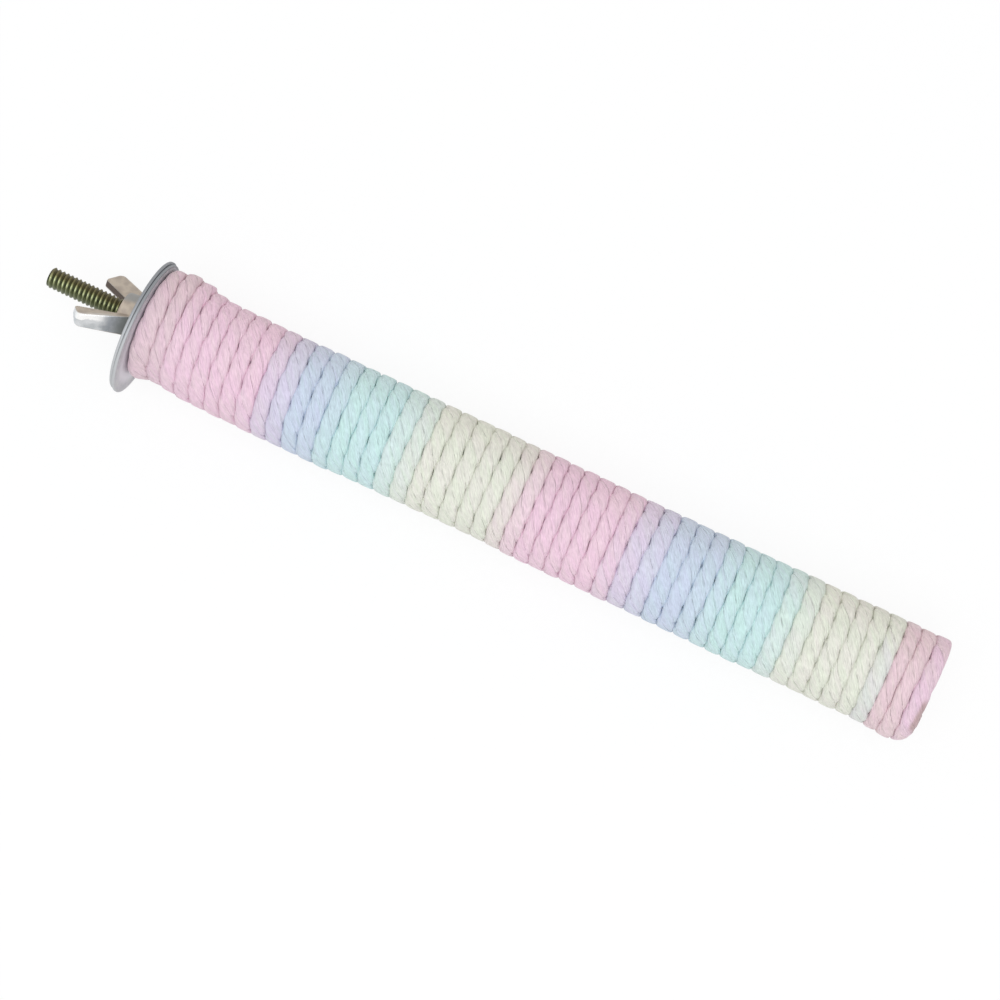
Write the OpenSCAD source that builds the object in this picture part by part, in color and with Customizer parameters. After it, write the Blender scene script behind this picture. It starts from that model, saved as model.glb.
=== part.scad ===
// Bird perch for a cage wall: a round wooden stick wound in one layer with a
// thick dyed rope, and a hanger bolt in its end that carries two wide washers
// and a wing nut. The cage bars are pinched between the two washers.
// X runs from the clamp towards the free end, Z is up, and the origin is on
// the bolt's axis in the plane where the two washers meet.

/* [Stick] */
// Diameter of the round wooden stick
stick_d = 16; // [13:0.5:20]
// Length of the stick
stick_len = 194; // [120:0.1:260]
// Bevel round both ends of the stick
stick_bevel = 0.6; // [0.2:0.1:1.5]

/* [Rope] */
// Height of the flattened rope above the stick
rope_thick = 4.4; // [3:0.1:6]
// Room that one turn of the rope takes along the stick
rope_room = 3.88; // [3:0.02:6]
// Gap between two neighbouring turns
turn_gap = 0.45; // [0.42:0.01:0.7]
// Width of the rope's trimmed tail at either end
tail_w = 0.8; // [0.5:0.1:1.5]
// Where the rope starts, as an angle round the stick
rope_start_angle = 95; // [0:1:359]
// Slope of the rope's two shoulders, as a share of its width
shoulder_share = 0.2; // [0.15:0.01:0.35]

/* [Hanger bolt] */
// Thread diameter over the crests
bolt_d = 4.8; // [4:0.1:6]
// Distance from one thread crest to the next
thread_pitch = 1.058; // [0.8:0.001:1.3]
// How far the bolt stands out in front of the clamp plane
bolt_reach = 24.3; // [22:0.1:40]
// How deep the wood screw end sits in the stick
screw_depth = 24.7; // [18:0.1:40]
// Length of the screw's point
screw_point = 5; // [3:0.5:8]

/* [Washers] */
// Outside diameter of both washers
washer_d = 31.8; // [26:0.2:40]
// Thickness of each washer
washer_thick = 0.7; // [0.6:0.05:2]
// How much wider the washer hole is than the bolt
hole_slack = 3; // [1.4:0.1:3.4]
// How far the inner washer has dropped, as a share of the room in its hole
inner_drop_share = 0.95; // [0:0.01:1]
// How far the outer washer has dropped, as a share of the room in its hole
outer_drop_share = 0.65; // [0:0.01:0.7]
// Stamped rounding on the washer rims
rim_round = 0.24; // [0.1:0.02:0.28]

/* [Wing nut] */
// Distance across both wings
wing_span = 26; // [22:0.1:30]
// Height of the wing tips over the foot of the nut
wing_h = 12.9; // [10:0.1:16]
// Thickness of a wing along its inner edge, which faces the thread
wing_thin = 2.1; // [1.6:0.1:3]
// Thickness of a wing along its outer edge, where fingers push
wing_thick = 3.8; // [2.6:0.1:4.6]
// Rounding of the wings' edges
wing_round = 0.5; // [0.3:0.05:0.8]
// Diameter of the hub at its foot
hub_d = 10.4; // [9.4:0.1:12]
// Height of the hub
hub_h = 5.6; // [4:0.1:6.5]
// Taper of the hub, taken off its radius at the top
hub_taper = 0.6; // [0.2:0.1:1]
// Angle of the wings round the bolt, from upright
wing_angle = 35; // [0:1:359]

/* [Clearances] */
// Radial play of the nut's bore round the thread
nut_play = 0.08; // [0.04:0.01:0.1]
// Flat gap between stick, washers and nut in the loose stack
stack_gap = 0.06; // [0.05:0.01:0.2]
// Gap between the rope and the wood below it
rope_seat = 0.1; // [0.05:0.01:0.2]
// Gap between the wood screw and its pilot hole
screw_play = 0.05; // [0.02:0.01:0.1]

/* [Hidden] */
$fn = 96;
rings_per_turn = 14;

stick_r = stick_d / 2;
bolt_r = bolt_d / 2;
// The blank that a rolled thread starts from has the thread's mean diameter
blank_share = 0.6495;
blank_r = bolt_r - blank_share * thread_pitch / 2;

// The stack along the bolt, from the stick outwards
wood_x = washer_thick + stack_gap;
far_x = wood_x + stick_len;
outer_back_x = -stack_gap;
outer_front_x = outer_back_x - washer_thick;
nut_foot_x = outer_front_x - stack_gap;
nut_top_x = nut_foot_x - hub_h;
thread_start_x = nut_top_x - thread_pitch / 2;
bolt_tip_x = -bolt_reach;
tip_bevel = thread_pitch / 2;
screw_end_x = wood_x + screw_depth;

// Both washers hang off centre, by a share of the room in their holes
hole_r = bolt_r + hole_slack / 2;
inner_drop = inner_drop_share * hole_slack / 2;
outer_drop = outer_drop_share * hole_slack / 2;

// The rope is laid in whole turns of nearly its own room
turns = round(stick_len / rope_room);
turn_step = stick_len / turns;
turn_w = turn_step - turn_gap;
rope_in_r = (stick_r + rope_seat) / cos(180 / rings_per_turn);
rope_out_r = stick_r + rope_thick;
rope_mid_r = (rope_in_r + rope_out_r) / 2;
first_ring = ceil(rings_per_turn * (tail_w + turn_gap / 2) / turn_step);
last_ring = floor(rings_per_turn * (1 + (stick_len - tail_w - turn_gap / 2) / turn_step));
ring_count = last_ring - first_ring + 1;

// One turn covers the stick from its left edge to its right edge. The edges
// advance evenly, and stop at the end faces of the stick, where the rope is
// trimmed flush.
function edge_x(ring) = wood_x + (ring / rings_per_turn - 1) * turn_step + turn_gap / 2;
function left_x(ring) = max(wood_x, edge_x(ring));
function right_x(ring) = min(far_x, edge_x(ring) + turn_w);
function ring_angle(ring) = rope_start_angle + 360 * ring / rings_per_turn;

// A point of the rope at a place along the stick, a radius and an angle
function rope_point(x, r, angle) = [x, r * cos(angle), r * sin(angle)];

// The six corners of the flattened rope at one ring
function rope_ring(ring) =
    let (
        a = ring_angle(ring),
        left = left_x(ring),
        right = right_x(ring),
        slope = shoulder_share * (right - left)
    )
    [
        rope_point(left, rope_mid_r, a),
        rope_point(left + slope, rope_in_r, a),
        rope_point(right - slope, rope_in_r, a),
        rope_point(right, rope_mid_r, a),
        rope_point(right - slope, rope_out_r, a),
        rope_point(left + slope, rope_out_r, a)
    ];

// Least gap between a ring and the ring one turn further on
function turn_gaps() = [
    for (ring = [first_ring : last_ring - rings_per_turn])
        let (here = rope_ring(ring), next = rope_ring(ring + rings_per_turn))
        min([for (p = here, q = next) norm(p - q)])
];
echo(turns = turns, rope_least_gap = min(turn_gaps()));

// Turns a shape made along Z so that it lies along X
module along_x() {
    rotate([0, 90, 0])
        children();
}

// Wooden stick with a pilot hole for the wood screw
module perch_stick() {
    pilot_r = bolt_r + screw_play;
    color("burlywood")
        along_x()
        difference() {
            rotate_extrude()
                polygon([
                    [0, wood_x],
                    [stick_r - stick_bevel, wood_x],
                    [stick_r, wood_x + stick_bevel],
                    [stick_r, far_x - stick_bevel],
                    [stick_r - stick_bevel, far_x],
                    [0, far_x]
                ]);
            rotate_extrude()
                polygon([
                    [0, wood_x - pilot_r],
                    [pilot_r, wood_x - pilot_r],
                    [pilot_r, screw_end_x - screw_point],
                    [0, screw_end_x + screw_play * screw_point / bolt_r]
                ]);
        }
}

// Rope wound round the stick as one unbroken right-handed helix
module rope_wrap() {
    sides = 6;
    points = [for (ring = [first_ring : last_ring]) each rope_ring(ring)];
    walls = [
        for (i = [0 : ring_count - 2], k = [0 : sides - 1])
            let (
                a = i * sides + k,
                b = i * sides + (k + 1) % sides,
                c = b + sides,
                d = a + sides
            )
            each [[a, b, c], [a, c, d]]
    ];
    last = (ring_count - 1) * sides;
    start_cap = [for (k = [1 : sides - 2]) [0, k + 1, k]];
    end_cap = [for (k = [1 : sides - 2]) [last, last + k, last + k + 1]];
    color([0.87, 0.82, 0.87])
        polyhedron(points = points, faces = concat(walls, start_cap, end_cap));
}

// Hanger bolt: machine thread in front, plain blank under the nut and the
// washers, wood screw inside the stick
module hanger_bolt() {
    color("darkkhaki")
        along_x()
        rotate_extrude()
            polygon([
                [0, bolt_tip_x],
                [bolt_r - tip_bevel, bolt_tip_x],
                [bolt_r, bolt_tip_x + tip_bevel],
                [bolt_r, thread_start_x],
                [blank_r, thread_start_x + (bolt_r - blank_r) / 2],
                [blank_r, wood_x + thread_pitch],
                [bolt_r, wood_x + thread_pitch * 2],
                [bolt_r, screw_end_x - screw_point],
                [0, screw_end_x]
            ]);
}

// Wide stamped washer with rounded rims, its back face at the given place
module washer(back_x, drop) {
    outer_r = washer_d / 2;
    front_x = back_x - washer_thick;
    soft = rim_round * 0.3;
    translate([0, -drop, 0])
        along_x()
        rotate_extrude()
            polygon([
                [hole_r, front_x],
                [outer_r - rim_round, front_x],
                [outer_r - soft, front_x + soft],
                [outer_r, front_x + rim_round],
                [outer_r, back_x - rim_round],
                [outer_r - soft, back_x - soft],
                [outer_r - rim_round, back_x],
                [hole_r, back_x]
            ]);
}

// Washer that bears on the stick and on the first turn of rope
module inner_washer() {
    color("lightsteelblue")
        washer(washer_thick, inner_drop);
}

// Washer that the wing nut pushes against the cage bars
module outer_washer() {
    color("lightsteelblue")
        washer(outer_back_x, outer_drop);
}

// One wing as it stands in the plane of the bolt: a slanted plate, thicker
// along its outer edge, that leaves the hub near its foot and ends in a blunt
// tip. Each corner is a pair of small balls, one on either side of the plate.
module wing() {
    tip_r = wing_span / 2 - wing_round;
    tip_h = wing_h - wing_round;
    thin = wing_thin / 2 - wing_round;
    thick = wing_thick / 2 - wing_round;
    root_r = hub_d / 2 - hub_taper;
    corners = [
        [root_r * 0.8, wing_round, thin],
        [root_r * 1.38, wing_round * 2, thick],
        [tip_r, tip_h * 0.83, thick],
        [tip_r * 0.69, tip_h, thin],
        [root_r * 0.8, hub_h - wing_round, thin]
    ];
    hull()
        for (c = corners, side = [-1, 1])
            translate([c[0], side * c[2], c[1]])
                sphere(r = wing_round, $fn = 16);
}

// Cast wing nut with its foot towards the washers
module wing_nut() {
    hub_r = hub_d / 2;
    bore_r = bolt_r + nut_play;
    mouth = thread_pitch / 2;
    color("silver")
        translate([nut_foot_x, 0, 0])
        rotate([wing_angle, 0, 0])
        rotate([0, -90, 0])
        difference() {
            union() {
                rotate_extrude()
                    polygon([
                        [0, 0],
                        [hub_r - mouth / 2, 0],
                        [hub_r, mouth / 2],
                        [hub_r - hub_taper, hub_h - mouth],
                        [hub_r - hub_taper - mouth, hub_h],
                        [0, hub_h]
                    ]);
                for (side = [0, 180])
                    rotate([0, 0, side])
                        wing();
            }
            translate([0, 0, -hub_h / 2])
                cylinder(r = bore_r, h = hub_h * 2);
            translate([0, 0, -mouth])
                cylinder(r1 = bore_r + mouth * 1.5, r2 = bore_r - mouth / 2, h = mouth * 2);
        }
}

perch_stick();
rope_wrap();
hanger_bolt();
inner_washer();
outer_washer();
wing_nut();
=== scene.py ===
import math

import bpy
import numpy as np
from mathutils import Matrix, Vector


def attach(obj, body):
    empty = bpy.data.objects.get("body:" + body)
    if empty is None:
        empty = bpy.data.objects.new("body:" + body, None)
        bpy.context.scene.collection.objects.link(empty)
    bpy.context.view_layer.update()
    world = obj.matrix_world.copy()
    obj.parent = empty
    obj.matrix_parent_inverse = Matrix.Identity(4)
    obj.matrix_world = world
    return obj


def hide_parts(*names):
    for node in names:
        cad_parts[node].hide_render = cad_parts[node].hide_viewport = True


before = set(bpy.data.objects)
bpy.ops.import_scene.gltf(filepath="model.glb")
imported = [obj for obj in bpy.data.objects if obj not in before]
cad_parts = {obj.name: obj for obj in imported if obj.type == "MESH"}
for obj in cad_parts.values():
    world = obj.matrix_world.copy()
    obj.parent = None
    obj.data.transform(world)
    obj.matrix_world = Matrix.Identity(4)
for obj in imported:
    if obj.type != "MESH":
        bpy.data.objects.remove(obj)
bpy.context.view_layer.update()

# Every shape below is worked out in millimetres and becomes metres in its mesh.
MM = 0.001
TURN = 2 * math.pi

# The wooden stick, from one end to the other, and its radius
WOOD_X, FAR_X = 0.76, 194.76
WOOD_R = 8.0
# The rope's turns round it: their number, their step, the angle at which the count
# starts, the first and the last place of the rope in it, and the length of one turn
TURNS = 50
TURN_STEP = (FAR_X - WOOD_X) / TURNS
ROPE_START = math.radians(95)
ROPE_FIRST, ROPE_LAST = 4 / 14, 710 / 14
TURN_LENGTH = TURN * 10.3
# The wrap's outer radius at the clamp, how much it grows to the far end, and the
# rope's distance from the wood
ROPE_OUT_R = 12.5
ROPE_GROWTH = 0.2
ROPE_SEAT = 0.05
# How far the rope spreads past its grooves on both sides, and its least half width
SIDE_PRESS = 0.2
NARROWEST = 0.25
# The rope's strands, and how many times they turn about its middle in one turn
STRANDS = 3
LAYS_PER_TURN = 4.47

# One strand's section, in a rope of radius 1: its middle, its radius, how far it passes
# the planes where it meets its neighbours, and how hard its corners are
STRAND_MIDDLE, STRAND_R = 0.28, 0.72
PLANE_OVERLAP = 1.12
CORNER_HARDNESS = 12
# How the lines between strands are filled out: from what distance from the rope's
# middle, over how much more of it, how far on the whole, and how much less at the sides
FILL_FROM, FILL_OVER = 0.45, 0.3
LINE_FILL = 0.96
FILL_LOST = 0.95
# The power of the superellipse of the rope's shoulders
SHOULDER = 5.2

# The rope's trimmed ends: what they keep clear of the stick's end planes, how far the
# far end stands out on both sides, and how much further on the side away from +Y
END_GAP = 0.02
END_STANDS_OUT, END_LEANS_OUT = 0.45, 0.3
# Swellings of the rope: middle along X, spread, and for the last two the height
CLAMP_SWELL_X, CLAMP_SWELL_SPREAD = 6.0, 4.2
END_SWELL_X, END_SWELL_SPREAD, END_SWELL = FAR_X - 4.5, 3.2, 0.5
BULGE_X, BULGE_SPREAD, BULGE = 2.8, 1.3, 0.75

# The hanger bolt, in the order in which it runs along X
BOLT_R = 2.46
THREAD_PITCH, THREAD_DEPTH = 1.058, 0.38
SCREW_PITCH, SCREW_DEPTH = 2.3, 0.72
BLANK_R = BOLT_R - 0.34
BOLT_TIP_X = -24.7
MACHINE_END_X = 0.5
SCREW_START_X = 2.9
SCREW_POINT_X = 20.46
SCREW_END_X = 25.46

# The two washers and the wing nut
WASHER_R = 15.9
WASHER_HOLE_R = 3.9
WASHER_THICK = 0.7
STACK_GAP = 0.06
INNER_DROP, OUTER_DROP = 1.425, 0.975
NUT_FOOT_X = -0.82
NUT_BORE_R = 2.52
HUB_R, HUB_TOP_R, HUB_H = 5.2, 4.6, 5.6
NUT_TURN = math.radians(35)
# A wing: half its thickness along its inner edge, and three points of its plane, out
# from the axis and up from the foot: two on its inner edge and one on its outer edge
WING_HALF_THICK = 1.05
WING_INNER, WING_TIP, WING_OUTER = (4.0, 5.5), (9.2, 13.9), (6.8, 1.3)
# How much more the face on a wing's leading side leans for each millimetre below one
# height, and less for each millimetre above another
FOOT_FLARE, FOOT_FLARE_TOP = 0.13, 11.0
TIP_THINNING, TIP_THINNING_FROM = 0.06, 6.0

rng = np.random.default_rng(7)


# Meshes

def grid_faces(rows, columns, wrap_rows, wrap_columns):
    """Quads of a grid of points: each joins a point to the next one in its row and
    in its column, and a wrapped direction goes on from its last point to its first."""
    r = np.arange(rows if wrap_rows else rows - 1)[:, None]
    c = np.arange(columns if wrap_columns else columns - 1)[None, :]
    here, up = r * columns, (r + 1) % rows * columns
    right = (c + 1) % columns
    quads = np.stack([here + c, here + right, up + right, up + c], -1)
    return quads.reshape(-1, 4)


def surface(points, wrap_rows=False, wrap_columns=True, caps=True, flip=False):
    """One skin from a grid of points: its vertices, its quads, and one flat
    many-sided face over the first row and one over the last, if they are capped."""
    rows, columns = points.shape[:2]
    quads = grid_faces(rows, columns, wrap_rows, wrap_columns)
    ends = []
    if caps and not wrap_rows:
        ring = np.arange(columns)
        ends = [ring[::-1], ring + (rows - 1) * columns]
    if flip:
        quads = quads[:, ::-1]
        ends = [end[::-1] for end in ends]
    return points.reshape(-1, 3), quads, ends


def build(name, skins, crease=None, along=None):
    """One object from one or more skins. Its place is in its mesh, in metres. Edges
    bent by more than the crease, in degrees, are sharp. The coordinates along it, a
    pair for each corner of each face, are kept for its finish."""
    vertices, faces, first = [], [], 0
    for points, quads, ends in skins:
        vertices.append(points * MM)
        faces += (quads + first).tolist()
        faces += [(end + first).tolist() for end in ends]
        first += len(points)
    mesh = bpy.data.meshes.new(name)
    mesh.from_pydata(np.concatenate(vertices).tolist(), [], faces)
    mesh.polygons.foreach_set("use_smooth", np.ones(len(faces), bool))
    if along is not None:
        layer = mesh.uv_layers.new(name="lay")
        layer.data.foreach_set("uv", along.astype(np.float32).ravel())
    mesh.update()
    if crease is not None:
        mesh.set_sharp_from_angle(angle=math.radians(crease))
    made = bpy.data.objects.new(name, mesh)
    bpy.context.scene.collection.objects.link(made)
    return made


def around_x(x, r, angle):
    """Points at a place along X, a distance from the X axis and an angle round it."""
    return np.stack(np.broadcast_arrays(x, r * np.cos(angle), r * np.sin(angle)), -1)


def smooth_noise(rng, at, spacing, size):
    """A smooth random curve: seeded values at an even spacing, joined by cosine
    steps, so it passes level through each of them."""
    knots = rng.uniform(-size, size, int(at.max() / spacing) + 3)
    place = at / spacing
    left = np.floor(place).astype(int)
    blend = (1 - np.cos(np.pi * (place - left))) / 2
    return knots[left] * (1 - blend) + knots[left + 1] * blend


# Rope

# How the turns were laid: turn by turn, how far the groove in front of a turn lies off
# its even place where the rope faces up or down
GROOVE_DRIFT = [
    (1, 0.3), (2, 1.0), (5, -0.4), (8, -0.5), (13, -0.2), (16, -0.3), (20, 0.4), (22.5, 1.1),
    (25, 0.7), (29, -0.4), (32, -0.6), (34, 0.4), (37, 0.8), (41, 0.7), (44, 1.2), (48, 0.8),
    (50, -0.2), (51, 0.0),
]
# How far the groove leans over, towards the far end at +Y and back at the other side
GROOVE_LEAN = [(1, 0.2), (6, -0.3), (12, -0.2), (18, 0.4), (34, 0.5), (46, 0.1), (50, 0.8)]
# How far it bows towards the far end at both of these sides
GROOVE_BOW = [(1, -0.6), (6, 0.0), (26, -0.3), (32, 0.4), (40, 0.0), (50, 0.9)]
# Along X, how much the rope is thicker than its even radius, and how far it lies
# towards +Y
ROPE_BODY = [
    (10, 0.0, 0.0), (35, 0.0, -0.3), (50, 0.1, -0.2), (60, -0.1, 0.0), (85, -0.2, 0.1),
    (100, -0.1, -0.1), (150, -0.1, -0.1), (185, -0.1, 0.1), (195, 0.0, 0.0),
]


def turn_edge(turn):
    """Where the groove in front of a turn lies along X: it advances one step a turn,
    drifts as the turns were laid wider or tighter, leans over with the cosine of the
    angle round the stick, bows with its square, and wavers a little."""
    side = np.cos(ROPE_START + TURN * turn)
    drift, lean, bow = (np.interp(turn, *np.array(table).T)
                        for table in (GROOVE_DRIFT, GROOVE_LEAN, GROOVE_BOW))
    even = WOOD_X + (turn - 1) * TURN_STEP
    return even + drift + lean * side + bow * side ** 2 + waver(turn)


def strand_outline(v):
    """Section of one strand, in a rope of radius 1: round outside and pressed flat on
    the two planes where it meets its neighbours. Its radius is the soft minimum of a
    circle and of the distance to those planes."""
    half_part = math.pi / STRANDS
    towards = -math.sin(half_part) * np.cos(v) + math.cos(half_part) * np.abs(np.sin(v))
    to_plane = PLANE_OVERLAP * STRAND_MIDDLE * math.sin(half_part) / np.maximum(towards, 1e-3)
    hard = CORNER_HARDNESS
    reach = (STRAND_R ** -hard + to_plane ** -hard) ** (-1 / hard)
    return STRAND_MIDDLE + reach * np.cos(v), reach * np.sin(v)


def laid_section(turn, v, number):
    """A strand's section turned about the rope's middle as the rope runs on,
    left-handed, as places across and up in a rope of radius 1. The lines between the
    strands are filled out on top, where the rope is stretched flat, and the rope's
    shoulders are raised as those of a superellipse."""
    out, side = strand_outline(v)
    phase = -TURN * (LAYS_PER_TURN * turn + lay_wander(turn)) + TURN * number / STRANDS
    across = out * np.cos(phase) - side * np.sin(phase)
    up = out * np.sin(phase) + side * np.cos(phase)
    far = np.hypot(across, up)
    sideways = np.minimum(np.abs(across) / far, 0.9999)
    on_top = np.clip((far - FILL_FROM) / FILL_OVER, 0, 1) * (up > 0)
    kept = 1 - FILL_LOST * sideways ** 4
    fill = 1 + (1 - far) / far * on_top * line_fill(turn, number) * kept
    across, up = across * fill, up * fill
    up = up * (1 - sideways ** SHOULDER) ** (1 / SHOULDER) / np.sqrt(1 - sideways ** 2)
    return across, up


def hump(x, middle, spread):
    """A bell curve along X, 1 at its middle."""
    return np.exp(-((x - middle) / spread) ** 2 / 2)


def rope_swell(x, towards_y, under):
    """How much further out the rope stands than its even radius. It swells at the
    clamp, most of all towards +Y, and at the far end on the side away from +Y. In
    long stretches it is a little thicker, or shifted to one side."""
    swell = hump(x, CLAMP_SWELL_X, CLAMP_SWELL_SPREAD) * (0.45 + 1.6 * towards_y + 0.35 * under)
    swell += END_SWELL * hump(x, END_SWELL_X, END_SWELL_SPREAD) * under
    place, thicker, shifted = np.array(ROPE_BODY).T
    return swell + (np.interp(x, place, thicker) + np.interp(x, place, shifted) * towards_y)


def rounded_end(inside, r):
    """How far the surface drops at a trimmed end, from how far a point lies inside
    that end: a quarter round of radius r."""
    into = np.clip(r - inside, 0, None)
    return r - np.sqrt(r ** 2 - into ** 2)


def lay_coordinates(turn, number, sides):
    """Length along the rope and round the strand, in millimetres, for each corner of
    each face of a strand, with the seam towards the rope's core. The strands lie apart
    on them, so that no two look alike. The two end faces get the ends of the length."""
    strand_round, apart = TURN * 1.3, 40
    length = np.broadcast_to(turn * TURN_LENGTH, (len(turn), sides))
    around = np.linspace(0, strand_round, sides + 1) + apart * number
    a, b = length[:-1], length[1:]
    c = np.broadcast_to(around[:-1], a.shape)
    d = np.broadcast_to(around[1:], a.shape)
    corners = np.stack([np.stack(pair, -1) for pair in ((a, c), (a, d), (b, d), (b, c))], 2)
    ends = np.zeros((2 * sides, 2))
    ends[:sides, 0] = ROPE_FIRST * TURN_LENGTH
    ends[sides:, 0] = ROPE_LAST * TURN_LENGTH
    return np.concatenate([corners.reshape(-1, 2), ends])


def rope_strand(number, ring_step=0.72, sides=18):
    """One of the rope's three strands. The rope's section is squeezed between the
    grooves on both sides, the wood and the outer radius, and spreads under its
    shoulders where it presses on its neighbours. The rope's middle runs round the
    stick as a right-handed helix. Where the rope is trimmed, at both ends of the
    stick, it is rounded off."""
    rings = int((ROPE_LAST - ROPE_FIRST) * TURN_LENGTH / ring_step)
    turn = np.linspace(ROPE_FIRST, ROPE_LAST, rings)[:, None]
    v = np.linspace(0, TURN, sides, endpoint=False)[None, :]
    angle = ROPE_START + TURN * turn
    towards_y = np.cos(angle)
    under = np.clip(-towards_y, 0, 1)
    across, up = laid_section(turn, v, number)

    # Room of the rope between its grooves, the wood and its outer radius
    left = np.maximum(turn_edge(turn), WOOD_X)
    right = np.minimum(turn_edge(turn + 1), FAR_X + 0.5)
    half_w = np.maximum((right - left) / 2 + SIDE_PRESS + press_wander(turn), NARROWEST)
    x = (left + right) / 2
    swell = rope_swell(x, towards_y, under)
    out_r = ROPE_OUT_R + ROPE_GROWTH * x / FAR_X + swell + height_wander(turn)
    in_r = WOOD_R + ROPE_SEAT
    half_h, middle = (out_r - in_r) / 2, (out_r + in_r) / 2

    # The far end stands out past the stick and is rounded off, most of all away from
    # +Y. The end at the washer is rounded off most towards +Y, which leaves a dark line
    spread = 1 + 0.16 * np.clip((0.6 - up) / 0.5, 0, 1)
    end = FAR_X - END_GAP + END_STANDS_OUT * towards_y ** 2 + END_LEANS_OUT * under
    along = np.clip(x + half_w * across * spread, WOOD_X + END_GAP, end)
    drop = rounded_end(end - along, 2.0 - 1.3 * towards_y + 0.7 * under)
    drop += rounded_end(along - WOOD_X, 0.9 + 0.7 * np.clip(towards_y, 0, 1))
    # The first turn bulges out over the edge of its own cut end, away from +Y
    bulge = BULGE * hump(along, BULGE_X, BULGE_SPREAD) * under
    radius = middle + half_h * up + (bulge - 0.8 * drop) * (up > 0) * up

    # Where the line between two strands is steepest its edge is sharp, which makes
    # the line faint there
    return build(f"rope_strand_{number + 1}", [surface(around_x(along, radius, angle))],
                 crease=95, along=lay_coordinates(turn, number, sides))


turn_knots = np.linspace(0, TURNS + 3, 4000)
waver_table = smooth_noise(rng, turn_knots, 0.31, 0.12)
waver_table += smooth_noise(rng, turn_knots, 0.075, 0.07)
lay_table = smooth_noise(rng, turn_knots, 1.3, 0.12)
height_table = smooth_noise(rng, turn_knots, 0.37, 0.1)
press_table = smooth_noise(rng, turn_knots, 0.05, 0.14)
line_table = smooth_noise(rng, turn_knots, 0.11, 0.04)


def waver(turn):
    """How far a groove wavers from its smooth run, nothing at both ends."""
    fade = np.clip((turn - 1) / 1.5, 0, 1) * np.clip((TURNS + 1 - turn) / 1.5, 0, 1)
    return fade * np.interp(turn, turn_knots, waver_table)


def lay_wander(turn):
    """How far the strands run ahead of an even lay, in turns of the strands."""
    return np.interp(turn, turn_knots, lay_table)


def height_wander(turn):
    """How much the rope stands higher or lower than its even radius."""
    return np.interp(turn, turn_knots, height_table)


def press_wander(turn):
    """How much more or less a turn presses on its neighbours, which makes the groove
    between them shallow in some places and a dark pit in others."""
    return np.interp(turn, turn_knots, press_table)


def line_fill(turn, number):
    """How far the line between one strand and the next is filled out: here and there
    it can hardly be seen. The strands take different parts of one table."""
    return LINE_FILL + np.interp((turn + 17 * number) % TURNS, turn_knots, line_table)


# Metal

def filleted(corners, radii, steps=6):
    """A closed outline with each corner rounded by an arc that touches both of its
    sides, and one more point just before and after each arc to hold the flats."""
    corners = np.array(corners, float)
    arcs = []
    for here, before, after, r in zip(corners, np.roll(corners, 1, 0),
                                      np.roll(corners, -1, 0), radii):
        one = (before - here) / np.linalg.norm(before - here)
        two = (after - here) / np.linalg.norm(after - here)
        half = math.acos(np.clip(one @ two, -1, 1)) / 2
        middle = here + (one + two) / np.linalg.norm(one + two) * r / math.sin(half)
        start, end = here + one * r / math.tan(half), here + two * r / math.tan(half)
        turn = np.linspace(0, 1, steps)[:, None]
        span = math.pi - 2 * half
        arc = (np.sin((1 - turn) * span) * (start - middle)
               + np.sin(turn * span) * (end - middle)) / math.sin(span) + middle
        hold = 0.15 * r
        arcs += [(start + one * hold)[None], arc, (end + two * hold)[None]]
    return np.concatenate(arcs)


def ring(outline, around=180, y=0.0):
    """An outline of places along X and distances from the axis, carried once round
    the axis, with the axis moved sideways."""
    angle = np.linspace(0, TURN, around, endpoint=False)[:, None]
    points = around_x(outline[None, :, 0], outline[None, :, 1], angle)
    points[..., 1] += y
    return surface(points, wrap_rows=True)


def washer(name, back_x, drop):
    """A stamped washer: a flat ring whose edges are rounded by the die, the front
    edge of the rim most of all."""
    front_x = back_x - WASHER_THICK
    corners = [(front_x, WASHER_HOLE_R), (front_x, WASHER_R),
               (back_x, WASHER_R), (back_x, WASHER_HOLE_R)]
    outline = filleted(corners, [0.12, 0.26, 0.16, 0.1])
    return build(name, [ring(outline, y=-drop)], crease=50)


def thread_radius(x, angle, pitch, crest_r, depth):
    """Radius of a rolled right-handed thread: between two crests the flanks fall
    and rise evenly, with a narrow flat crest and a rounded root."""
    place = (x / pitch - angle / TURN) % 1
    flank = np.clip(np.abs(2 * place - 1) * 1.2 - 0.08, 0, 1)
    return crest_r - depth * (1 - flank ** 1.25)


def hanger_bolt():
    """The bolt: a machine thread from its bevelled tip to the stick, then a wood
    screw of a coarser pitch that runs down to a point. Radius over X and angle."""
    around = 72
    machine = np.arange(BOLT_TIP_X, MACHINE_END_X, THREAD_PITCH / 14)
    plain = np.linspace(MACHINE_END_X, SCREW_START_X, 8)[:-1]
    screw = np.linspace(SCREW_START_X, SCREW_END_X - 0.05, 150)
    x = np.concatenate([machine, plain, screw])[:, None]
    angle = np.linspace(0, TURN, around, endpoint=False)[None, :]
    fine = thread_radius(x, angle, THREAD_PITCH, BOLT_R, THREAD_DEPTH)
    coarse = thread_radius(x, angle, SCREW_PITCH, BOLT_R, SCREW_DEPTH)
    # The fine thread runs out into the plain blank, and the screw's thread rises from it
    into_plain = np.clip((x - MACHINE_END_X + 1.2) / 1.2, 0, 1)
    into_screw = np.clip((x - SCREW_START_X) / 1.5, 0, 1)
    r = fine * (1 - into_plain) + BLANK_R * into_plain
    r = r * (1 - into_screw) + coarse * into_screw
    bevel = BOLT_R - 0.4 + (x - BOLT_TIP_X)
    taper = BOLT_R * np.clip((SCREW_END_X - x) / (SCREW_END_X - SCREW_POINT_X), 0.01, 1) + 0.03
    r = np.minimum(np.minimum(r, bevel), taper)
    # One more ring inside the tip keeps its flat end small
    r = np.concatenate([r[:1] * 0.35, r])
    x = np.concatenate([x[:1], x])
    return build("bolt_thread", [surface(around_x(x, r, angle))], crease=60)


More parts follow.
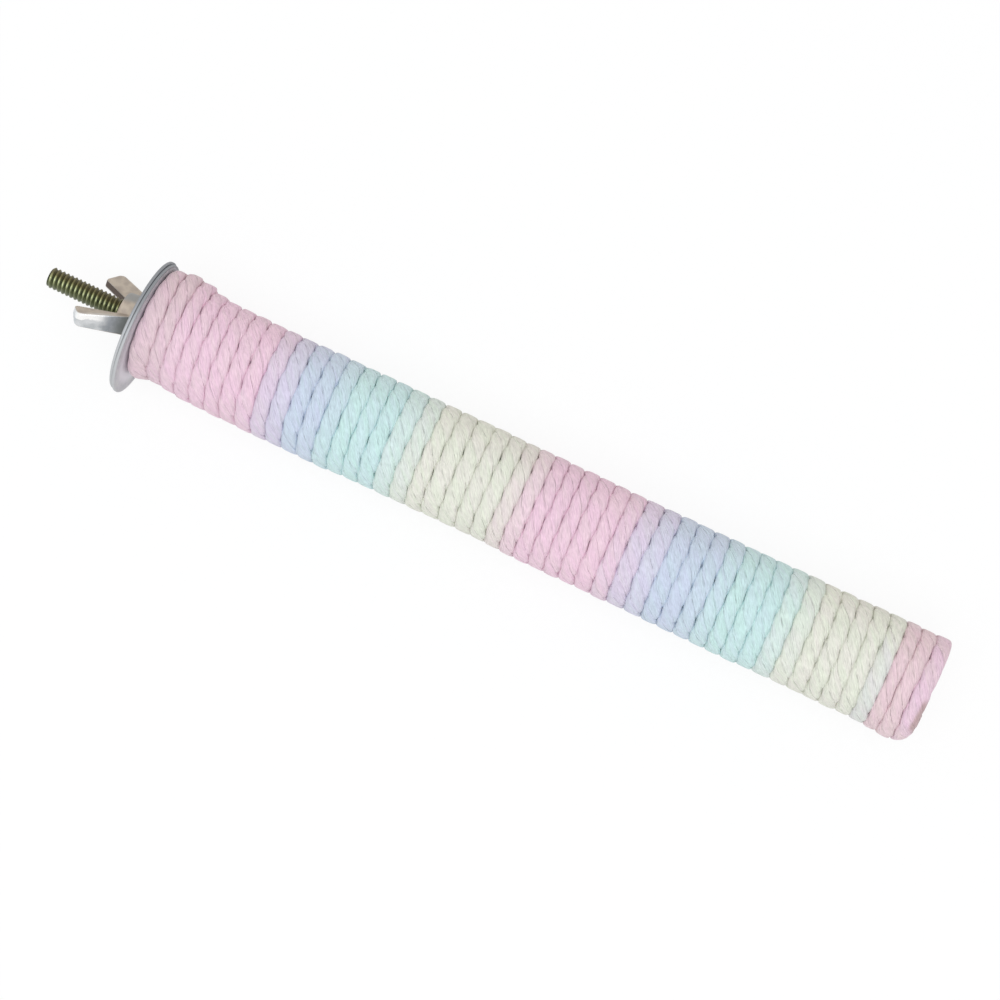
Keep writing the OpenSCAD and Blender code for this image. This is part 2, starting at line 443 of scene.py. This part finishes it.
def nut_place(radial, side, height):
    """A point of the nut from its own three directions: out along the wings, across
    them, and up from the foot, turned with the nut about the bolt."""
    y = -radial * math.sin(NUT_TURN) + side * math.cos(NUT_TURN)
    z = radial * math.cos(NUT_TURN) + side * math.sin(NUT_TURN)
    return np.stack(np.broadcast_arrays(NUT_FOOT_X - height, y, z), -1)


def nut_wing(direction, edge_r=0.45):
    """One wing: a rounded outline in the plane of the bolt, carried from one face to
    the other through quarter rounds along its edges. The two faces lean apart
    from the wing's inner edge to its outer edge, most of all near the foot, where
    the face on the leading side leans further than the other. At the tip it leans
    less."""
    outline = filleted([(3.2, 0.3), (6.5, 0.5), (13.35, 11.5), WING_TIP, (3.7, 5.4)],
                       [0.3, 0.9, 1.4, 0.7, 0.4], steps=9)
    inner = np.array(WING_INNER)
    run = (WING_TIP - inner) / np.linalg.norm(WING_TIP - inner)
    normal = np.array([run[1], -run[0]])
    width = (WING_OUTER - inner) @ normal
    ahead = np.roll(outline, -1, 0) - np.roll(outline, 1, 0)
    outward = np.stack([ahead[:, 1], -ahead[:, 0]], -1) / np.linalg.norm(ahead, axis=1)[:, None]
    quarter = np.linspace(0, math.pi / 2, 7)
    rows = []
    for side, angles in ((-1, quarter), (1, quarter[::-1])):
        for angle in angles:
            edge = outline - outward * edge_r * (1 - math.sin(angle))
            lean = np.clip((edge - inner) @ normal / width, -0.2, 1.3)
            height = edge[:, 1]
            flare = 1.0 - 0.015 * height
            if side == direction:
                flare += FOOT_FLARE * np.clip(FOOT_FLARE_TOP - height, 0, None)
                flare -= TIP_THINNING * np.clip(height - TIP_THINNING_FROM, 0, None)
            half = WING_HALF_THICK + flare * lean - edge_r * (1 - math.cos(angle))
            rows.append(nut_place(direction * edge[:, 0], side * half, height))
    return surface(np.stack(rows), flip=direction < 0)


def wing_nut():
    """The cast nut: a tapered hub with a bore, turned about the bolt, and two wings,
    melted together by a fine remesh and smoothed a little."""
    top_x = NUT_FOOT_X - HUB_H
    hub = filleted([(NUT_FOOT_X, NUT_BORE_R), (top_x, NUT_BORE_R),
                    (top_x, HUB_TOP_R), (NUT_FOOT_X, HUB_R)], [0.3, 0.3, 0.6, 0.25])
    made = build("wing_nut_cast", [ring(hub, around=96), nut_wing(1), nut_wing(-1)])
    melt = made.modifiers.new("melt", "REMESH")
    melt.mode = "VOXEL"
    melt.voxel_size = 0.16 * MM
    melt.use_smooth_shade = True
    ease = made.modifiers.new("ease", "SMOOTH")
    ease.factor = 0.5
    ease.iterations = 4
    return made


# Finishes

def shade(red, green, blue):
    """A colour given as 0 to 255 screen values, as the linear values of a shader."""
    screen = np.array([red, green, blue]) / 255
    linear = np.where(screen <= 0.04045, screen / 12.92, ((screen + 0.055) / 1.055) ** 2.4)
    return (*linear.tolist(), 1.0)


class Value:
    """An output of a node. Arithmetic on it adds one Math node for each operator."""

    def __init__(self, finish, socket):
        self.finish = finish
        self.socket = socket

    def _math(self, operation, one, two):
        return self.finish.node("Math", {"operation": operation}, {0: one, 1: two})

    def __add__(self, other):
        return self._math("ADD", self, other)

    def __sub__(self, other):
        return self._math("SUBTRACT", self, other)

    def __mul__(self, other):
        return self._math("MULTIPLY", self, other)

    def __truediv__(self, other):
        return self._math("DIVIDE", self, other)

    def __pow__(self, other):
        return self._math("POWER", self, other)

    def __rsub__(self, other):
        return self._math("SUBTRACT", other, self)

    __radd__ = __add__
    __rmul__ = __mul__


class Finish:
    """A material made of nodes."""

    def __init__(self, name):
        self.material = bpy.data.materials.new(name)
        self.material.use_nodes = True
        self.tree = self.material.node_tree
        self.tree.nodes.clear()

    def node(self, kind, settings=None, sockets=None, output=0):
        """Any node, by its kind, its settings, the values or links of its sockets and
        the output that is wanted."""
        made = self.tree.nodes.new("ShaderNode" + kind)
        for key, value in (settings or {}).items():
            if key == "stops":
                self._stops(made.color_ramp, value)
            else:
                setattr(made, key, value)
        for key, value in (sockets or {}).items():
            if isinstance(value, Value):
                self.tree.links.new(value.socket, made.inputs[key])
            else:
                made.inputs[key].default_value = value
        return Value(self, made.outputs[output]) if made.outputs else None

    @staticmethod
    def _stops(ramp, stops):
        """Sets the places and colours of a ramp."""
        while len(ramp.elements) < len(stops):
            ramp.elements.new(0.5)
        for element, (place, colour) in zip(ramp.elements, stops):
            element.position, element.color = place, colour

    def vector(self, x, y, z):
        return self.node("CombineXYZ", {}, {0: x, 1: y, 2: z})

    def place(self):
        """Where a point lies in the piece's frame, in metres."""
        return self.node("TexCoord", {}, {}, output="Object")

    def parts(self, vector):
        """The three numbers of a vector."""
        split = self.node("SeparateXYZ", {}, {0: vector}).socket.node
        return [Value(self, socket) for socket in split.outputs]

    def noise(self, place, scale, detail=2.0, rough=0.5):
        return self.node("TexNoise", {"noise_dimensions": "3D"},
                         {"Vector": place, "Scale": scale, "Detail": detail, "Roughness": rough})

    def between(self, value, low, high, out_low=0.0, out_high=1.0):
        """Where a value lies between two limits, carried to two other limits."""
        return self.node("MapRange", {"interpolation_type": "SMOOTHSTEP"},
                         {0: value, 1: low, 2: high, 3: out_low, 4: out_high})

    def mix(self, amount, one, two, blend="MIX"):
        """Two colours mixed. A Mix node has sockets of one name for each kind of
        value, so those of the colours go by number."""
        return self.node("Mix", {"data_type": "RGBA", "blend_type": blend, "clamp_factor": True},
                         {0: amount, 6: one, 7: two}, output=2)

    def grey(self, value):
        """A colour of three equal numbers."""
        return self.node("CombineColor", {}, {0: value, 1: value, 2: value})

    def bump(self, height, distance, strength=1.0):
        return self.node("Bump", {}, {"Height": height, "Distance": distance * MM,
                                      "Strength": strength})

    def close(self, sockets):
        """The shader and the output."""
        shader = self.node("BsdfPrincipled", {}, sockets)
        self.node("OutputMaterial", {}, {"Surface": shader})
        return self.material


DYES = {
    "rose": shade(226, 200, 209),
    "pink": shade(237, 205, 221),
    "lilac": shade(214, 210, 229),
    "blue": shade(203, 215, 233),
    "mint": shade(203, 231, 232),
    "cream": shade(229, 230, 218),
    "white": shade(224, 225, 223),
    "blush": shade(232, 207, 213),
    "orchid": shade(231, 202, 219),
}
# The stretches of rope that took one dye fully, from one turn to another. In
# between the dyes run into each other.
DYED = [
    (0.0, 1.7, "rose"), (3.0, 8.0, "pink"), (9.8, 10.2, "lilac"), (11.0, 12.0, "blue"),
    (13.7, 16.2, "mint"), (18.8, 23.3, "cream"), (25.7, 30.7, "pink"), (32.5, 32.8, "lilac"),
    (34.0, 35.8, "blue"), (37.8, 40.2, "mint"), (42.4, 46.8, "cream"), (47.1, 47.4, "white"),
    (47.8, 49.7, "blush"), (49.9, 50.0, "orchid"), (50.4, 51.0, "blush"),
]


def rope_finish():
    """Soft cotton rope, dyed in long stretches that run into each other along its
    length. Fine yarns run aslant along each strand, lighter and darker."""
    f = Finish("dyed_cotton")
    lay = f.node("UVMap", {"uv_map": "lay"})
    along, around, _ = f.parts(lay)
    cloud = f.noise(f.vector(along * 0.05, around * 0.15, 3.0), 1.0)
    place = along / (TURN_LENGTH * (TURNS + 1)) + (cloud - 0.5) * (0.9 / (TURNS + 1))
    stops = [(turn / (TURNS + 1), DYES[dye]) for first, last, dye in DYED
             for turn in (first, last)]
    dye = f.node("ValToRGB", {"stops": stops}, {0: place})
    aslant = around - along * 0.08
    yarn = f.noise(f.vector(along * 0.22, aslant * 2.4, 0.0), 1.0, 2.0, 0.6)
    fibre = f.noise(f.vector(along * 0.85, aslant * 4.6, 5.0), 1.0, 1.0, 0.5)
    stain = f.noise(f.vector(along * 0.16, around * 0.5, 9.0), 1.0, 2.0)
    shaded = f.between(yarn, 0.3, 0.7, 0.96, 1.02) * f.between(fibre, 0.38, 0.62, 0.935, 1.045)
    light = f.grey(shaded)
    tinge = f.mix(f.between(stain, 0.35, 0.65), (0.975, 1.0, 0.97, 1), (1.0, 0.97, 1.0, 1))
    colour = f.mix(1.0, f.mix(1.0, dye, light, "MULTIPLY"), tinge, "MULTIPLY")
    # A warm shade is painted on the rope towards +Y, and a tan-brown strip on its trimmed end,
    # away from +Y
    x, y, _ = f.parts(f.place())
    painted_warm_shade = f.mix(f.between(y, 3.0 * MM, 10.0 * MM), (1, 1, 0.99, 1), (0.995, 0.98, 0.965, 1))
    colour = f.mix(1.0, colour, painted_warm_shade, "MULTIPLY")
    cut = f.between(x, (FAR_X - 1.7) * MM, (FAR_X - 0.6) * MM)
    cut = cut * f.between(y, -11.0 * MM, -9.5 * MM) * (1 - f.between(y, -4.5 * MM, -2.5 * MM))
    colour = f.mix(cut * 0.7, colour, shade(172, 144, 136))
    height = yarn + fibre * 0.7
    return f.close({
        "Base Color": colour,
        "Roughness": 0.78 + 0.14 * yarn,
        "Specular IOR Level": 0.2,
        "Sheen Weight": 0.2,
        "Sheen Roughness": 0.5,
        "Normal": f.bump(height, 0.45, 0.8),
    })


def yellow_zinc_finish():
    """Yellow chromate on zinc, with light and shade painted into its colour over the bolt's height
    in Y: grey green below, a painted highlight of pale gold along the middle of the crests, and
    brown towards +Y, in patches, with painted shade in the roots of the thread."""
    f = Finish("yellow_chromate")
    place = f.place()
    _, y, z = f.parts(place)
    radius = (y * y + z * z) ** 0.5
    crest = f.between(radius, 2.14 * MM, 2.42 * MM)
    patch = f.noise(place, 900.0, 3.0)
    round_bolt = (y + (patch - 0.5) * 1.2 * MM) / (5.0 * MM) + 0.5
    # Across Y the crests carry a painted highlight in the middle, and the roots painted shade,
    # darkest under it
    crest_tint_and_highlight = f.node("ValToRGB", {"stops": [
        (0.0, shade(128, 132, 110)), (0.2, shade(118, 124, 90)), (0.28, shade(160, 166, 122)),
        (0.37, shade(194, 202, 156)), (0.5, shade(166, 168, 120)), (0.64, shade(112, 106, 70)),
        (1.0, shade(112, 106, 76))]}, {0: round_bolt})
    root_tint_and_shade = f.node("ValToRGB", {"stops": [
        (0.0, shade(96, 102, 76)), (0.2, shade(80, 86, 52)), (0.36, shade(26, 34, 6)),
        (0.52, shade(48, 52, 20)), (0.68, shade(66, 60, 32)), (1.0, shade(82, 76, 50))]},
        {0: round_bolt})
    metal_and_painted_light = f.mix(crest, root_tint_and_shade, crest_tint_and_highlight)
    grain = f.noise(place, 5200.0, 2.0)
    return f.close({
        "Base Color": metal_and_painted_light,
        "Metallic": 0.55,
        "Roughness": 0.34 + 0.16 * grain,
        "Normal": f.bump(grain, 0.02, 0.3),
    })


def washer_zinc_finish():
    """Zinc on steel sheet: grey, mottled with violet and pale specks, with rolling lines across
    the sheet, a grey rim painted lighter towards -Y and darker towards +Y, and painted light that
    makes the face paler close to the rope."""
    f = Finish("washer_plating")
    place = f.place()
    x, y, z = f.parts(place)
    rolled = f.noise(f.vector(x * 400.0, y * 260.0, z * 2600.0), 1.0, 3.0)
    cloud = f.noise(place, 420.0, 4.0, 0.6)
    speck = f.noise(place, 2200.0, 3.0, 0.6)
    tinge = f.noise(place, 900.0, 2.0)
    colour = f.mix(f.between(cloud, 0.32, 0.68), shade(178, 178, 183), shade(196, 197, 199))
    colour = f.mix(f.between(tinge, 0.45, 0.7) * 0.5, colour, shade(174, 170, 188))
    colour = f.mix(f.between(speck, 0.4, 0.7) * 0.5, colour, shade(206, 208, 205))
    reach = ((y + INNER_DROP * MM) ** 2 + z * z) ** 0.5
    # The rim's colour is painted light and shade: lighter towards -Y, darker towards +Y
    rim_painted_light = f.mix(f.between(y, -13.0 * MM, 3.0 * MM), shade(186, 188, 190), shade(142, 145, 149))
    # Painted light makes the face paler close to the rope, against the shade it casts there
    painted_light_near_rope = (1 - f.between(reach, 12.0 * MM, 14.4 * MM)) * f.between(x, 0.2 * MM, 0.5 * MM)
    colour = f.mix(painted_light_near_rope, colour, shade(222, 220, 226))
    colour = f.mix(f.between(reach, 15.2 * MM, 15.5 * MM), colour, rim_painted_light)
    return f.close({
        "Base Color": colour,
        "Metallic": 0.3,
        "Roughness": 0.4 + 0.2 * cloud + 0.08 * rolled,
        "Normal": f.bump(speck + rolled, 0.03, 0.4),
    })


def nut_zinc_finish():
    """Die-cast zinc with light painted into its colour: a painted warm reflection on the broad
    faces of the wings, greyer on the hub, pale metal on the edges with painted shade towards the
    foot, the darkest painted shade along the inner edges, and a painted highlight along the thick
    outer edges."""
    f = Finish("cast_zinc")
    place = f.place()
    x, y, z = f.parts(place)
    side = y * math.cos(NUT_TURN) + z * math.sin(NUT_TURN)
    radial = z * math.cos(NUT_TURN) - y * math.sin(NUT_TURN)
    off_middle = (side * side) ** 0.5
    off_axis = (radial * radial) ** 0.5
    above_foot = NUT_FOOT_X * MM - x
    # How far a point lies outwards from the line along the wing's inner edge, and
    # towards the wing's leading side
    inner_out, inner_up = WING_INNER
    share_out, share_up = 0.846, 0.533
    outwards = (off_axis - inner_out * MM) * share_out - (above_foot - inner_up * MM) * share_up
    leading = side * radial / off_axis
    inner_edge = 1 - f.between(outwards, 0.1 * MM, 0.5 * MM)
    # Half the wing's thickness, against which the broad faces are told from the edges
    flared = f.between(leading, 0.2 * MM, 0.8 * MM) * (10.2 * MM - above_foot) * outwards * 34.0
    half_thick = WING_HALF_THICK * MM + outwards * 0.2 + flared
    face = f.between(off_middle - half_thick, -0.45 * MM, -0.15 * MM)
    cloud = f.noise(place, 420.0, 3.0)
    patch = f.between(cloud, 0.35, 0.65)
    # The broad faces get a painted warm reflection, greyer near the hub
    tan = f.mix(patch, shade(190, 178, 163), shade(170, 158, 146))
    tan = f.mix(1 - f.between(off_axis, 1.6 * MM, 3.0 * MM), tan, shade(152, 151, 148))
    # The edges are pale metal, with a painted highlight along the outer edge on the wing's leading
    # side
    metal_and_painted_light = f.mix(patch, shade(214, 218, 222), shade(188, 193, 197))
    along_edge = f.between(above_foot, 4.6 * MM, 7.2 * MM) * (
        1 - f.between(above_foot, 11.6 * MM, 13.2 * MM))
    ragged = (patch - 0.5) * 0.9 * MM
    painted_highlight = f.between(leading + ragged, -0.1 * MM, 0.5 * MM) * along_edge
    metal_and_painted_light = f.mix(painted_highlight, metal_and_painted_light, shade(250, 252, 253))
    # Painted shade darkens the edges towards the foot
    metal_and_painted_light = f.mix(1 - f.between(above_foot, 2.0 * MM, 5.5 * MM), metal_and_painted_light, shade(150, 154, 150))
    colour = f.mix(face, metal_and_painted_light, tan)
    # Painted shade darkens the inner edges
    colour = f.mix(inner_edge * (1 - face), colour, shade(92, 82, 76))
    dimple = f.noise(place, 1500.0, 2.0)
    return f.close({
        "Base Color": colour,
        "Metallic": 0.9 - 0.5 * face,
        "Roughness": 0.2 + 0.25 * face + 0.1 * dimple,
        "Normal": f.bump(dimple, 0.05, 0.4),
    })


def wood_finish():
    """Pale wood: year rings about a heart off the middle, drawn out along the stick,
    with dark pores."""
    f = Finish("pale_wood")
    place = f.place()
    x, y, z = f.parts(place)
    warp = f.noise(f.vector(x * 9.0, y * 120.0, z * 120.0), 1.0, 2.0)
    from_heart = ((y + 2.2 * MM) * (y + 2.2 * MM) + (z - 1.4 * MM) * (z - 1.4 * MM)) ** 0.5
    ring_place = from_heart * 900.0 + warp * 1.6
    rings = f.node("Math", {"operation": "SINE"}, {0: ring_place * TURN})
    late = f.between(rings, 0.1, 1.0)
    colour = f.mix(late, shade(222, 190, 148), shade(190, 150, 106))
    pores = f.noise(f.vector(x * 60.0, y * 4200.0, z * 4200.0), 1.0, 2.0)
    dark = f.between(pores, 0.6, 0.75)
    colour = f.mix(dark * 0.5, colour, shade(140, 104, 68))
    return f.close({
        "Base Color": colour,
        "Roughness": 0.62 + 0.2 * late,
        "Normal": f.bump(late * 0.4 + dark * -0.8, 0.06, 0.6),
    })


# Pieces

def dress(piece, finish):
    """Gives every face of a piece one finish."""
    piece.data.materials.clear()
    piece.data.materials.append(finish)


rope = rope_finish()
for number in range(STRANDS):
    strand = rope_strand(number)
    dress(strand, rope)
    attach(strand, "perch")
    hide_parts("rope_wrap")

bolt = hanger_bolt()
dress(bolt, yellow_zinc_finish())
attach(bolt, "perch")
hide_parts("hanger_bolt")

plating = washer_zinc_finish()
for name, back_x, drop in (("inner_washer", WASHER_THICK, INNER_DROP),
                           ("outer_washer", -STACK_GAP, OUTER_DROP)):
    disc = washer(name + "_plated", back_x, drop)
    dress(disc, plating)
    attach(disc, name)
    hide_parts(name)

nut = wing_nut()
dress(nut, nut_zinc_finish())
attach(nut, "wing_nut")
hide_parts("wing_nut")

wood = wood_finish()
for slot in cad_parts["perch_stick"].material_slots:
    slot.material = wood

# Studio

FLOOR_Z = -16.3 * MM
FLOOR_HALF = 3.0


def floor_finish():
    """Plain white paper. The camera and mirrored rays see it near white, and it
    keeps the object's shadow."""
    f = Finish("white_paper")
    place = f.place()
    tooth = f.noise(place, 900.0, 3.0)
    paper = f.node("BsdfPrincipled", {}, {
        "Base Color": f.mix(f.between(tooth, 0.3, 0.7), (0.9, 0.9, 0.9, 1), (0.92, 0.92, 0.92, 1)),
        "Roughness": 0.9, "Specular IOR Level": 0.0})
    glow = f.node("Emission", {}, {"Color": (1, 1, 1, 1), "Strength": 1.0})
    camera_ray = f.node("LightPath", {}, {}, output="Is Camera Ray")
    glossy_ray = f.node("LightPath", {}, {}, output="Is Glossy Ray")
    seen = f.node("Math", {"operation": "MAXIMUM"}, {0: camera_ray, 1: glossy_ray})
    mixed = f.node("MixShader", {}, {0: seen * 0.88, 1: paper, 2: glow})
    f.node("OutputMaterial", {}, {"Surface": mixed})
    return f.material


def studio_world():
    """Warm white all round: level light for surfaces, and brighter for what the
    camera, mirrors and glass see directly. To the camera it is as white as the floor."""
    world = bpy.data.worlds.new("studio")
    bpy.context.scene.world = world
    world.use_nodes = True
    tree = world.node_tree
    tree.nodes.clear()
    path = tree.nodes.new("ShaderNodeLightPath")
    rays = path.outputs["Is Camera Ray"]
    for name in ("Is Glossy Ray", "Is Transmission Ray"):
        either = tree.nodes.new("ShaderNodeMath")
        either.operation = "MAXIMUM"
        tree.links.new(rays, either.inputs[0])
        tree.links.new(path.outputs[name], either.inputs[1])
        rays = either.outputs[0]
    level = tree.nodes.new("ShaderNodeMapRange")
    level.inputs["To Min"].default_value = 0.74
    level.inputs["To Max"].default_value = 1.0
    tree.links.new(rays, level.inputs["Value"])
    tone = tree.nodes.new("ShaderNodeMix")
    tone.data_type = "RGBA"
    tone.inputs[6].default_value = (0.985, 0.957, 0.93, 1)
    tone.inputs[7].default_value = (0.98, 0.98, 0.98, 1)
    tree.links.new(path.outputs["Is Camera Ray"], tone.inputs[0])
    sky = tree.nodes.new("ShaderNodeBackground")
    tree.links.new(tone.outputs[2], sky.inputs["Color"])
    tree.links.new(level.outputs[0], sky.inputs["Strength"])
    out = tree.nodes.new("ShaderNodeOutputWorld")
    tree.links.new(sky.outputs[0], out.inputs["Surface"])


def soft_lamp(name, place, aim, size, power):
    """A square lamp at a place, turned towards a point."""
    data = bpy.data.lights.new(name, "AREA")
    data.shape = "SQUARE"
    data.size = size
    data.energy = power
    data.color = (0.86, 0.93, 1.0)
    lamp = bpy.data.objects.new(name, data)
    lamp.location = place
    lamp.rotation_mode = "QUATERNION"
    lamp.rotation_quaternion = (Vector(place) - Vector(aim)).to_track_quat("Z", "Y")
    bpy.context.scene.collection.objects.link(lamp)


floor_points = np.array([[[side_x, side_y, FLOOR_Z] for side_x in (-FLOOR_HALF, FLOOR_HALF)]
                         for side_y in (-FLOOR_HALF, FLOOR_HALF)]) / MM
floor = build("floor", [surface(floor_points, wrap_columns=False, caps=False)])
dress(floor, floor_finish())
studio_world()
soft_lamp("key", place=(0.10, -0.28, 1.1), aim=(0.09, 0.0, 0.0), size=0.9, power=7.4)

# Camera

bpy.context.scene.view_settings.view_transform = "Standard"

CAMERA_AZIMUTH, CAMERA_ELEVATION = math.radians(25.6), math.radians(82.1)
CAMERA_TARGET = Vector((90.2, -2.1, 0.0)) * MM
CAMERA_DISTANCE = 564.4 * MM

back = Vector((math.sin(CAMERA_AZIMUTH) * math.cos(CAMERA_ELEVATION),
               -math.cos(CAMERA_AZIMUTH) * math.cos(CAMERA_ELEVATION),
               math.sin(CAMERA_ELEVATION)))
lens = bpy.data.cameras.new("camera")
lens.lens = 90.0
lens.sensor_width = 36.0
lens.clip_start = 0.01
lens.clip_end = 20.0
camera = bpy.data.objects.new("camera", lens)
camera.location = CAMERA_TARGET + back * CAMERA_DISTANCE
camera.rotation_mode = "QUATERNION"
camera.rotation_quaternion = (-back).to_track_quat("-Z", "Y")
bpy.context.scene.collection.objects.link(camera)
bpy.context.scene.camera = camera
